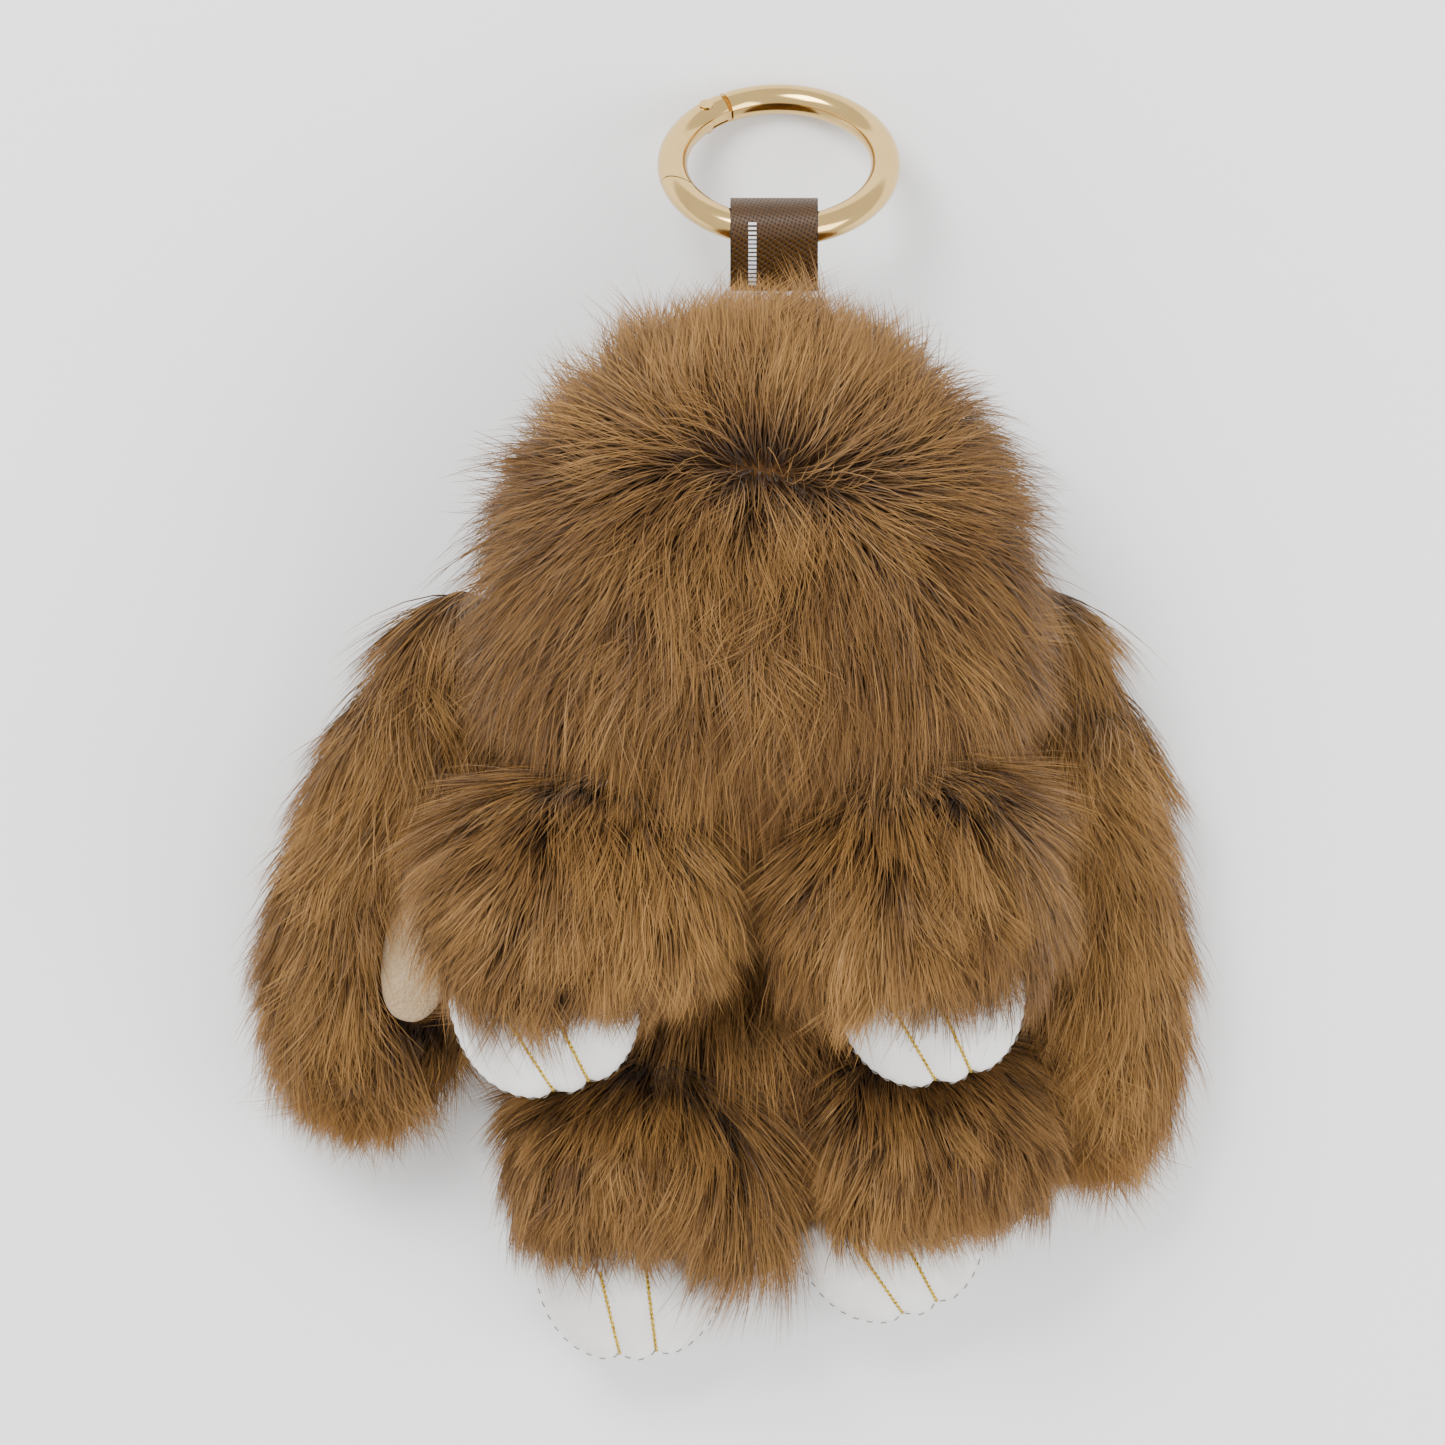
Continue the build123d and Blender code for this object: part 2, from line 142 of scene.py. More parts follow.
class Finish:
    """A material with its main shader, and the one way to add nodes to it."""

    def __init__(self, name, **fixed):
        self.material = bpy.data.materials.new(name)
        self.material.use_nodes = True
        self.tree = self.material.node_tree
        self.shader = self.tree.nodes["Principled BSDF"]
        for socket, value in fixed.items():
            self.shader.inputs[socket.replace("_", " ")].default_value = value

    def give(self, socket, value):
        if isinstance(value, Value):
            self.tree.links.new(value.socket, socket)
        else:
            socket.default_value = value

    def node(self, kind, settings=None, *values, output=0, **named):
        made = self.tree.nodes.new(kind)
        for name, setting in (settings or {}).items():
            setattr(made, name, setting)
        for key, value in [*enumerate(values), *named.items()]:
            self.give(made.inputs[key], value)
        return Value(self, made.outputs[output])

    def place(self):
        """The point being coloured, in the piece's own metres."""
        return self.node("ShaderNodeTexCoord", output="Object")

    def apart(self, vector):
        """A vector's three numbers."""
        first = self.node("ShaderNodeSeparateXYZ", None, vector)
        sockets = first.socket.node.outputs
        return [Value(self, socket) for socket in sockets]

    def speckle(self, grain, detail=2.0, vector=None, rough=0.5):
        """Soft noise with spots about grain wide."""
        values = {"Scale": 1 / grain, "Detail": detail, "Roughness": rough}
        values["Vector"] = vector or self.place()
        return self.node("ShaderNodeTexNoise", None, output=0, **values)

    def mix(self, share, first, second):
        """first where share is 0, second where it is 1."""
        made = self.tree.nodes.new("ShaderNodeMix")
        made.data_type = "RGBA"
        for index, value in ((0, share), (6, first), (7, second)):
            self.give(made.inputs[index], value)
        return Value(self, made.outputs[2])

    def use(self, colour=None, roughness=None, height=None, depth=0.0):
        """Feed the shader. height is a bump, depth metres deep."""
        if colour:
            self.give(self.shader.inputs["Base Color"], colour)
        if roughness:
            self.give(self.shader.inputs["Roughness"], roughness)
        if height:
            bump = self.node("ShaderNodeBump", None, Strength=1.0, Distance=depth, Height=height)
            self.give(self.shader.inputs["Normal"], bump)
        return self.material


def paint(red, green, blue):
    """A colour given as a painter's 0 to 255, made linear for the shader."""
    return (*[(channel / 255) ** 2.2 for channel in (red, green, blue)], 1)


# %% [markdown]
# ## Table and light
#
# A pale table and soft light from all round, with one larger lamp above the head. The ring mirrors
# the sky, which is an even white.

# %% Table, sky and lamps
table_finish = Finish("pale_table", Roughness=0.9, Specular_IOR_Level=0.1)
fleck = table_finish.speckle(60 * mm)
table_finish.use(table_finish.mix(fleck, paint(250, 250, 250), paint(253, 253, 253)))
bpy.ops.mesh.primitive_plane_add(size=6)
table = bpy.context.object
table.name = "table"
table.data.materials.append(table_finish.material)

world = bpy.data.worlds.new("soft_sky")
world.use_nodes = True
world.node_tree.nodes["Background"].inputs["Color"].default_value = (1, 1, 1, 1)
world.node_tree.nodes["Background"].inputs["Strength"].default_value = 1.2
bpy.context.scene.world = world


def lamp(name, place, size, power):
    """A square soft lamp that faces the charm."""
    light = bpy.data.lights.new(name, "AREA")
    light.size = size
    light.energy = power
    made = bpy.data.objects.new(name, light)
    made.location = place
    made.rotation_euler = Vector(place).to_track_quat("Z", "Y").to_euler()
    bpy.context.scene.collection.objects.link(made)


lamp("key_lamp", (-0.35, 0.55, 0.9), 0.5, 12)
lamp("fill_lamp", (0.7, -0.2, 0.8), 0.6, 6)
lamp("low_lamp", (0.0, -0.8, 0.5), 0.4, 2)
print("lamps", sorted(light.name for light in bpy.data.lights))

# %% [markdown]
# ## How fake fur is built
#
# Fake fur is a knitted backing with hairs that stand out of it, combed one way and gathered in
# tapering locks. Blender's own hair would be quick, but it isn't mesh and can't be handed on. So each
# hair is a narrow ribbon of mesh that ends in a point.
#
# Three things make it read as fur: a direction that flows over the body, locks whose hairs lean
# together at their tips, and a colour that goes from a dark root to a pale tip. The first two are
# sums on arrays of points, and the third is stored on each hair for the finish to read.
#
# First come the cushions under the fur, as rounded shapes that a few numbers can swell or flatten.


# %% Cushions
def unit(vectors):
    """Each row as a vector one long."""
    return vectors / np.maximum(np.linalg.norm(vectors, axis=-1, keepdims=True), 1e-12)


def turned(points, degrees):
    """Points turned about the upright axis."""
    angle = math.radians(degrees)
    c, s = math.cos(angle), math.sin(angle)
    return points @ np.array([[c, s, 0], [-s, c, 0], [0, 0, 1]])


class Cushion:
    """A rounded solid: a ball stretched by different amounts each way, then shaped and turned.

    centre is in millimetres. reach gives how far it goes towards -X, +X, -Y, +Y, -Z and +Z."""

    def __init__(self, centre, reach, yaw=0.0, taper=0.0, square=2.0):
        self.centre = np.array(centre, float)
        self.reach = np.array(reach, float).reshape(3, 2)
        self.yaw = yaw
        self.taper = taper
        self.square = square

    def at(self, ways):
        """Points on the surface, one for each direction, in millimetres."""
        size = (np.abs(ways) ** self.square).sum(-1, keepdims=True) ** (1 / self.square)
        ball = ways / size
        reach = np.where(ball > 0, self.reach[:, 1], self.reach[:, 0])
        shaped = ball * reach
        shaped[:, 0] *= 1 + self.taper * ball[:, 1]
        return self.centre + turned(shaped, self.yaw)

    def facing(self, ways):
        """The outward direction at the same points."""
        side = unit(np.cross(ways, [0.31, 0.52, 0.79]))
        other = np.cross(ways, side)
        small = 1e-3
        along_side = self.at(unit(ways + small * side)) - self.at(unit(ways - small * side))
        along_other = self.at(unit(ways + small * other)) - self.at(unit(ways - small * other))
        out = unit(np.cross(along_side, along_other))
        return out * np.sign((out * (self.at(ways) - self.centre)).sum(-1, keepdims=True))


def even_ways(count, dice):
    """Directions spread evenly over a ball, a little disturbed."""
    step = np.arange(count) + 0.5
    height = 1 - 2 * step / count
    turn = step * math.pi * (3 - math.sqrt(5))
    flat = np.sqrt(1 - height**2)
    ways = np.stack([flat * np.cos(turn), flat * np.sin(turn), height], -1)
    return unit(ways + dice.normal(0, 0.6 / math.sqrt(count), ways.shape))


def new_piece(name, points, faces, finish):
    """A mesh piece from points in millimetres."""
    mesh = bpy.data.meshes.new(name)
    mesh.from_pydata((np.asarray(points) * mm).tolist(), [], faces)
    mesh.materials.append(finish)
    piece = bpy.data.objects.new(name, mesh)
    bpy.context.scene.collection.objects.link(piece)
    for face in mesh.polygons:
        face.use_smooth = True
    return piece


def beside(node, *offset):
    """A place in millimetres, given from the middle of a node of the mechanical model."""
    low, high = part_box(node)
    return (np.array(low) + np.array(high)) / 2 / mm + np.array(offset)


stuffing_finish = Finish("polyester_stuffing", Roughness=0.95)
fluff = stuffing_finish.speckle(1.2 * mm, 5, rough=0.7)
stuffing_finish.use(
    stuffing_finish.mix(fluff, paint(214, 212, 206), paint(244, 243, 240)), None, fluff, 0.6 * mm
)
backing_finish = Finish("knitted_backing", Roughness=0.9, Specular_IOR_Level=0.2)
knit = backing_finish.speckle(0.7 * mm, 3)
backing_finish.use(backing_finish.mix(knit, paint(44, 27, 11), paint(92, 62, 30)), None, knit, 0.4 * mm)


def cushion_piece(name, cushion, body, floor=0.4):
    """The backing of a furry part, as a padded piece."""
    bpy.ops.mesh.primitive_ico_sphere_add(subdivisions=5, radius=1)
    piece = bpy.context.object
    piece.name = piece.data.name = name
    ways = unit(np.array([vertex.co for vertex in piece.data.vertices], float))
    points = cushion.at(ways)
    points[:, 2] = np.maximum(points[:, 2], floor)
    piece.data.vertices.foreach_set("co", (points * mm).ravel())
    piece.data.materials.append(backing_finish.material)
    for face in piece.data.polygons:
        face.use_smooth = True
    piece.data.update()
    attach(piece, body)
    return piece


# %% [markdown]
# ## Hair colour
#
# Each hair carries two numbers in a map of its own: how pale its lock is, and how far along the hair
# a point lies. The finish turns the two into a colour. Because the same two numbers give the same
# colour everywhere, the map also holds the fur's colour exactly when it is turned into an image.

# %% The fur finish
strand_map = "OFBake"
fur_finish = Finish(
    "long_pile_fur",
    Roughness=0.5,
    Specular_IOR_Level=0.25,
    Sheen_Weight=0.15,
    Sheen_Roughness=0.4,
)
spot = fur_finish.node("ShaderNodeUVMap", {"uv_map": strand_map})
tone, along, _ = fur_finish.apart(spot)
dark_lock = fur_finish.mix(along.spread(0.05, 1.0), paint(36, 22, 8), paint(92, 61, 28))
pale_lock = fur_finish.mix(along.spread(0.05, 1.0), paint(60, 38, 15), paint(172, 128, 72))
fur_finish.use(fur_finish.mix(tone, dark_lock, pale_lock))

# %% [markdown]
# ## Growing hair
#
# `grow_fur` plants hairs on a cushion. A hair starts along a mix of the surface's outward direction
# and the way the fur is combed there, then bends over. Locks are made by choosing a few hairs as
# leaders and drawing every other hair's tip towards its nearest leader.

# %% Grow hair on a cushion
hair_levels = 4
hair_corners = 2 * hair_levels + 1
up_the_hair = np.linspace(0, 1, hair_levels + 1)
hair_share = 1.0


def ripples(points, size, seed, count=5):
    """Smooth random numbers over space, from about -1 to 1, with hills about size wide."""
    dice = np.random.default_rng(seed)
    total = np.zeros(len(points))
    for _ in range(count):
        wave = unit(dice.normal(size=3)) * 2 * math.pi / (size * dice.uniform(1.2, 2.6))
        total += np.sin(points @ wave + dice.uniform(0, 2 * math.pi))
    return total / math.sqrt(count)


def nearest(points, leaders):
    """The index of the nearest leader to each point."""
    tree = kdtree.KDTree(len(leaders))
    for index, leader in enumerate(leaders):
        tree.insert(leader, index)
    tree.balance()
    return np.array([tree.find(point)[1] for point in points])


def ribbons(middle, facing, width, twist):
    """Each hair's ribbon: pairs of points up its two sides and one at its tip.

    A ribbon lies nearly flat to the cushion, turned by its own twist, and narrows to a point."""
    tangent = unit(np.gradient(middle, axis=1))
    flat = unit(np.cross(tangent, facing[:, None]))
    upright = np.cross(flat, tangent)
    twist = twist[:, None, None]
    flat = np.cos(twist) * flat + np.sin(twist) * upright
    taper = (1 - up_the_hair[:-1] ** 2.2)[None, :, None] * width[:, None, None] / 2
    left, right = middle[:, :-1] - flat[:, :-1] * taper, middle[:, :-1] + flat[:, :-1] * taper
    pairs = np.stack([left, right], 2).reshape(len(middle), 2 * hair_levels, 3)
    return np.concatenate([pairs, middle[:, -1:]], 1)


def hair_mesh(name, points, pale):
    """All the ribbons of a piece as one mesh, with the map that the fur's finish reads."""
    count = len(points)
    # quads up the hair and a triangle at its tip
    quads = [[2 * i, 2 * i + 1, 2 * i + 3, 2 * i + 2] for i in range(hair_levels - 1)]
    tip = [2 * hair_levels - 2, 2 * hair_levels - 1, 2 * hair_levels]
    corners = np.array([*sum(quads, []), *tip])
    loops = (np.arange(count)[:, None] * hair_corners + corners).ravel()
    sizes = np.tile([4] * len(quads) + [3], count)

    # across the map: how pale the hair is; along it: how far up the hair
    side = np.array([*np.tile([0.0, 0.02], hair_levels), 0.01])
    height = np.array([*np.repeat(up_the_hair[:-1], 2), 1.0])
    across_map = (pale[:, None] + side[corners]).ravel()
    along_map = np.tile(height[corners] * 0.98 + 0.01, count)

    mesh = bpy.data.meshes.new(name)
    mesh.vertices.add(count * hair_corners)
    mesh.vertices.foreach_set("co", (points * mm).astype(np.float32).ravel())
    mesh.loops.add(len(loops))
    mesh.loops.foreach_set("vertex_index", loops.astype(np.int32))
    mesh.polygons.add(len(sizes))
    mesh.polygons.foreach_set("loop_start", (np.cumsum(sizes) - sizes).astype(np.int32))
    mesh.polygons.foreach_set("use_smooth", np.ones(len(sizes), bool))
    layer = mesh.uv_layers.new(name=strand_map, do_init=False)
    layer.uv.foreach_set("vector", np.stack([across_map, along_map], -1).astype(np.float32).ravel())
    mesh.materials.append(fur_finish.material)
    mesh.update(calc_edges=True)
    piece = bpy.data.objects.new(name, mesh)
    bpy.context.scene.collection.objects.link(piece)
    return piece


def grow_fur(name, cushion, body, count, comb, length, lift, seed, **options):
    """A piece of fur on a cushion.

    comb(points) gives the combed direction, length and lift are arrays or numbers in millimetres and
    degrees, and options: keep(points, facing), lock (hairs in a lock), gather, width, tone, droop."""
    dice = np.random.default_rng(seed)
    count = int(count * hair_share)
    ways = even_ways(count, dice)
    roots, facing = cushion.at(ways), cushion.facing(ways)
    keep = options.get("keep", lambda roots, facing: np.ones(len(roots), bool))(roots, facing)
    roots, facing = roots[keep], facing[keep]
    count = len(roots)
    locks = max(2, int(count / options.get("lock", 26) / hair_share))
    leader = dice.choice(count, locks, replace=False)
    lock = nearest(roots, roots[leader])

    # the combed direction, swirled a little from lock to lock and from hair to hair
    combed = comb(roots)
    combed = unit(combed - (combed * facing).sum(-1, keepdims=True) * facing)
    across = np.cross(facing, combed)
    swirl = 0.28 * ripples(roots, 9, seed + 1) + dice.normal(0, 0.22, len(leader))[lock]
    swirl = swirl + dice.normal(0, 0.16, count)
    combed = unit(combed + across * np.tan(np.clip(swirl, -1.1, 1.1))[:, None])
    sideways = np.cross(facing, combed)

    long = length(roots) if callable(length) else np.full(count, float(length))
    long = long * (1 + 0.16 * dice.normal(size=len(leader))[lock].clip(-2, 2))
    long = long * (1 + 0.13 * dice.normal(size=count).clip(-2.5, 2.5))
    rise = lift(roots) if callable(lift) else np.full(count, float(lift))
    rise = np.radians(rise + 7 * dice.normal(size=len(leader))[lock] + 6 * dice.normal(size=count))
    rise = rise.clip(0.05, 1.5)
    start = np.cos(rise)[:, None] * combed + np.sin(rise)[:, None] * facing
    droop = options.get("droop", 0.3)
    bow = 0.12 * dice.normal(size=count)

    # points along each hair
    middle = np.empty((count, hair_levels + 1, 3))
    for level, s in enumerate(up_the_hair):
        bend = s * s * (droop * (combed - facing * 0.9) + bow[:, None] * sideways)
        middle[:, level] = roots + long[:, None] * (s * start + bend)
    leading = middle[leader][lock]
    offset = leading - roots[leader][lock][:, None] + roots[:, None]
    gather = options.get("gather", 0.5) * dice.uniform(0.55, 1.15, count).clip(0, 1)
    pull = (up_the_hair**1.3)[None, :, None] * gather[:, None, None]
    middle = middle * (1 - pull) + (0.25 * offset + 0.75 * leading) * pull
    middle[:, :, 2] = np.maximum(middle[:, :, 2], 0.3)

    twist = dice.normal(0, 0.6, count)
    width = options.get("width", 0.17) * dice.uniform(0.7, 1.3, count) / math.sqrt(hair_share)
    points = ribbons(middle, facing, width, twist)

    # the two numbers that the finish reads
    pale = 0.5 + 0.14 * ripples(roots, 14, seed + 2) + 0.15 * dice.normal(size=len(leader))[lock]
    pale = pale + 0.12 * dice.normal(size=count)
    if "tone" in options:
        pale = pale + options["tone"](roots)
    pale = pale.clip(0.02, 0.96)
    pale[:2] = (0.02, 0.96)
    piece = hair_mesh(name, points, pale)
    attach(piece, body)
    print(name, count, "hairs")
    return piece


# %% [markdown]
# ## Head
#
# The head has no face: its fur parts at the crown and falls over where a face would be. Above the
# parting it is combed towards the strap, and below it down over the chin. So the comb points away
# from the nearest point of the parting, which is a short line across the crown.


# %% Head
def from_line(start, end, bias):
    """A comb that points away from a line, with a steady bias added."""
    start, end = np.array(start, float), np.array(end, float)

    def comb(points):
        run = end - start
        share = ((points - start) @ run / (run @ run)).clip(0, 1)
        away = points - (start + share[:, None] * run)
        return unit(away) + np.array(bias)

    return comb


head_cushion = Cushion(
    beside("head_fur", 0, -8.3, -1.4), (31.8, 32.6, 24.0, 38.5, 30.0, 25.5), square=2.1
)
parting_start = (-13, 37, 57)
parting_end = (20, 33, 57)
head_comb = from_line(parting_start, parting_end, (0, -0.25, -0.1))


def from_parting(points):
    """0 on the parting, 1 well away from it."""
    start, end = np.array(parting_start, float), np.array(parting_end, float)
    run = end - start
    share = ((points - start) @ run / (run @ run)).clip(0, 1)
    gap = np.linalg.norm(points - (start + share[:, None] * run), axis=1)
    return (gap / 16).clip(0, 1)


def head_tone(points):
    """Paler at the parting and above it, darker over the face."""
    above = ((points[:, 1] - 34) / 12).clip(0, 1)
    return 0.08 - 0.26 * from_parting(points) + 0.34 * above


head_options = dict(
    comb=head_comb,
    length=lambda points: 10.0 + 4.0 * from_parting(points),
    lift=lambda points: 54 - 21 * from_parting(points),
    tone=head_tone,
)
cushion = cushion_piece("head_backing", head_cushion, "plush")
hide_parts("head_fur")
for part in range(4):
    grow_fur(f"head_pile_{part + 1}", head_cushion, "plush", 27000, seed=100 + part, **head_options)

# %% [markdown]
# ## Body
#
# The body shows only between the arms and from behind. Its fur is combed from the neck to the feet.

# %% Body
body_cushion = Cushion(beside("body_fur", 0, 0, -0.7), (19.0, 19.0, 17.0, 24.0, 12.0, 11.0))
cushion = cushion_piece("body_backing", body_cushion, "plush")
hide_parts("body_fur")
grow_fur(
    "body_pile", body_cushion, "plush", 24000, from_line((3, -5, 22), (4, -5, 22), (0, -0.6, 0)),
    12.0, 34, 200, tone=lambda points: -0.22,
)

# %% [markdown]
# ## Ears
#
# The ears are long leaves of the same fur that hang beside the body. Each is lined with short pale
# plush, which shows only as a small tongue where the long hairs part. The fur is combed down the
# ear and outwards at its rim.

# %% Ears
ears = {
    "left": dict(
        centre=beside("left_ear_fur", 1.9, 3, 0),
        reach=(10.5, 12.5, 27.5, 38, 8.5, 8), yaw=-14, taper=-0.2,
    ),
    "right": dict(
        centre=beside("right_ear_fur", 0.2, 1, 0),
        reach=(11.0, 10.0, 31, 40, 8.5, 8), yaw=7, taper=-0.12,
    ),
}
tongue_half_width = 5.4
tongue_half_length = 14.0
tongue_places = {
    "left": beside("left_ear_lining", 6.2, -5, -0.6),
    "right": beside("right_ear_lining", -9.8, -2, -4.7),
}
plush_finish = Finish("ear_plush", Roughness=0.85, Specular_IOR_Level=0.2, Sheen_Weight=0.3)
nap = plush_finish.speckle(0.45 * mm, 4)
shade = plush_finish.speckle(5 * mm, 2)
plush_colour = plush_finish.mix(shade, paint(188, 158, 118), paint(222, 200, 166))
plush_finish.use(plush_finish.mix(nap, paint(170, 138, 98), plush_colour), None, nap, 0.5 * mm)

for side, facts in ears.items():
    ear_cushion = Cushion(facts["centre"], facts["reach"], facts["yaw"], facts["taper"], 2.2)
    body = f"{side}_ear"
    cushion = cushion_piece(f"{side}_ear_backing", ear_cushion, body)
    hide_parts(f"{side}_ear_fur")

    # the lining's free end, a soft rounded pad on the ear's upper face
    bpy.ops.mesh.primitive_ico_sphere_add(subdivisions=5, radius=1)
    tongue = bpy.context.object
    tongue.name = tongue.data.name = f"{side}_ear_tongue"
    ways = unit(np.array([vertex.co for vertex in tongue.data.vertices], float))
    pad = Cushion(tongue_places[side], (tongue_half_width, tongue_half_width, tongue_half_length,
                  tongue_half_length, 2.2, 2.2), facts["yaw"], square=2.4)
    points = pad.at(ways)
    points[:, 2] += 0.25 * ripples(points, 5, 61)
    tongue.data.vertices.foreach_set("co", (points * mm).ravel())
    tongue.data.materials.append(plush_finish.material)
    for face in tongue.data.polygons:
        face.use_smooth = True
    tongue.data.update()
    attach(tongue, body)
    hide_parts(f"{side}_ear_lining")

    def beside_tongue(roots, facing, centre=tongue_places[side]):
        """False for the hairs that would grow through the lining's open end."""
        across = np.abs(roots[:, 0] - centre[0] + 1.5) / (tongue_half_width + 1.5)
        down = np.abs(roots[:, 1] - centre[1] + 1) / (tongue_half_length - 1)
        return ((across**2 + down**2 > 1) | (facing[:, 2] < 0.2)) & (facing[:, 1] < 0.9)

    # the fur is combed away from a place beyond the ear's sewn end, and lies flat at that end
    root = facts["centre"] + turned(np.array([[0, 70.0, 6.0]]), facts["yaw"])[0]
    ear_options = dict(
        comb=from_line(root, root + 1, (0, -0.5, 0)),
        length=12.5,
        lift=lambda points: 33 - 29 * ((points[:, 1] - 3) / 10).clip(0, 1),
        tone=lambda points: 0.16 + 0.1 * (points[:, 0] > 0),
        keep=beside_tongue,
    )
    for part in range(2):
        seed = 300 + 10 * part + len(side)
        grow_fur(f"{side}_ear_pile_{part + 1}", ear_cushion, body, 26000, seed=seed, **ear_options)

# %% [markdown]
# ## Arms and legs
#
# Each limb is a short fur sleeve over a stuffed core. The hair fans from where the limb is sewn on
# towards its paw, and the last hairs lie over the leather.

# %% Arms and legs
leg_hair = 9.5
arm_hair = 11.5
limbs = {
    "left_arm": dict(
        centre=beside("left_arm_fur", 0.1, 5.9, -3),
        reach=(17, 16, 12, 14, 15, 12), yaw=12, source=(-15, 6, 44), hair=arm_hair, tone=0.0,
    ),
    "right_arm": dict(
        centre=beside("right_arm_fur", -0.2, 6.7, -3),
        reach=(14.5, 15.5, 12.5, 14, 15, 12), yaw=8, source=(21, 6, 44), hair=arm_hair, tone=0.0,
    ),
    "left_leg": dict(
        centre=beside("left_leg_fur", 0, 2.1, -1.7),
        reach=(15, 15, 9.0, 14, 13, 12), yaw=4, source=(-9, -30, 26), hair=leg_hair, tone=-0.06,
        tuft=6.0,
    ),
    "right_leg": dict(
        centre=beside("right_leg_fur", 0.1, 2.4, -1.7),
        reach=(14, 14, 9.5, 14, 13, 12), yaw=15, source=(23, -28, 26), hair=leg_hair, tone=-0.06,
    ),
}
sleeve_square = 2.7
filling_inside = 1.5
for index, (limb, facts) in enumerate(limbs.items()):
    sleeve = Cushion(facts["centre"], facts["reach"], facts["yaw"], square=sleeve_square)
    cushion = cushion_piece(f"{limb}_backing", sleeve, limb)
    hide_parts(f"{limb}_fur")
    smaller = np.array(facts["reach"]) - filling_inside
    core = Cushion(facts["centre"], smaller, facts["yaw"], square=sleeve_square)
    filling = cushion_piece(f"{limb}_filling", core, limb, filling_inside)
    filling.data.materials[0] = stuffing_finish.material
    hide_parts(f"{limb}_stuffing")
    source = np.array(facts["source"], float)

    def hair_length(points, facts=facts):
        """The limb's own hair, with a longer tuft on the left leg's inner side."""
        inner = ((points[:, 0] + 5) / 6).clip(0, 1)
        return facts["hair"] + facts.get("tuft", 0) * inner

    grow_fur(
        f"{limb}_pile", sleeve, limb, 28000, from_line(source, source + 1, (0, -0.15, 0)),
        hair_length, 36, 400 + 10 * index, tone=lambda points, facts=facts: facts["tone"],
    )

# %% [markdown]
# ## Paws
#
# A paw is two panels of soft white leather, sewn edge to edge and stuffed. Two gold threads are
# pulled tight over it, so that the leather swells into three toes between them. The shape is a soft
# box with a crease pressed under each thread: each direction from the paw's middle is followed
# outwards until it leaves that shape. Small puckers sit along the seam, where the stitches gather it.


# %% The paw's shape
paw_half_width = 13.0
paw_front = 15.0
paw_back = 3.5
paw_height = 6.2
paw_middle = np.array([0, -3.0, 0])
thread_pitch = 6.2
crease_depth = 0.075
crease_width = 1.15
paws = {
    "left_arm": dict(cuff=beside("left_arm_paw_upper", -1.4, 8.1, -2.2), yaw=12, lean=1.0),
    "right_arm": dict(cuff=beside("right_arm_paw_upper", 1, 9.1, -2.2), yaw=10, lean=1.0),
    "left_leg": dict(cuff=beside("left_leg_paw_upper", 0.2, 6.9, -4.8), yaw=3, lean=0.4),
    "right_leg": dict(cuff=beside("right_leg_paw_upper", 0.4, 7.4, -4.8), yaw=17, lean=0.8),
}


def thread_line(points, side, lean):
    """How far across a paw its left (side -1) or right (side 1) thread runs."""
    forward = ((-3 - points[..., 1]) / (paw_front - 3)).clip(0, 1)
    return side * (thread_pitch / 2 - 0.7 * forward) + lean * (3.8 * forward - 2.4)


def mitt(points, lean):
    """Above 0 outside a paw, below 0 inside: a soft box with two creases pressed in it."""
    long = np.where(points[..., 1] < 0, paw_front, paw_back)
    reach = np.stack([np.full_like(long, paw_half_width), long, np.full_like(long, paw_height)], -1)
    total = (np.abs(points / reach) ** 2.35).sum(-1) ** (1 / 2.35) - 1
    for side in (-1, 1):
        off = (points[..., 0] - thread_line(points, side, lean)) / crease_width
        total = total + crease_depth * np.exp(-np.abs(off) ** 1.3)
    return total


def paw_surface(ways, lean):
    """Where each direction from the paw's middle leaves the leather, by halving."""
    inside, outside = np.zeros(ways.shape[:-1]), np.full(ways.shape[:-1], 25.0)
    for _ in range(28):
        middle = (inside + outside) / 2
        out = mitt(paw_middle + ways * middle[..., None], lean) > 0
        inside, outside = np.where(out, inside, middle), np.where(out, middle, outside)
    return paw_middle + ways * inside[..., None]


def from_paw(points, facts):
    """Points given in a paw's own millimetres, put in place."""
    return facts["cuff"] + turned(points.reshape(-1, 3), facts["yaw"]).reshape(points.shape)


def grid_faces(rows, columns, closed):
    """Faces of a grid of points, row by row."""
    last = columns if closed else columns - 1
    return [
        (r * columns + c, r * columns + (c + 1) % columns, (r + 1) * columns + (c + 1) % columns,
         (r + 1) * columns + c)
        for r in range(rows - 1) for c in range(last)
    ]


leather_finish = Finish(
    "white_leather", Roughness=0.42, Specular_IOR_Level=0.45, Sheen_Weight=0.05, Coat_Weight=0.08
)
pores = leather_finish.speckle(0.28 * mm, 3)
crease = leather_finish.speckle(2.4 * mm, 4, rough=0.65)
tint = leather_finish.speckle(7 * mm, 2)
leather_colour = leather_finish.mix(tint.spread(0.35, 0.7), paint(226, 222, 217), paint(240, 238, 235))
leather_finish.use(leather_colour, 0.34 + 0.16 * pores, pores * 0.35 + crease, 0.22 * mm)

# %% Leather panels
seam_points = 192
dome_rows = 40
seam_turns = np.linspace(0, 2 * math.pi, seam_points, endpoint=False)


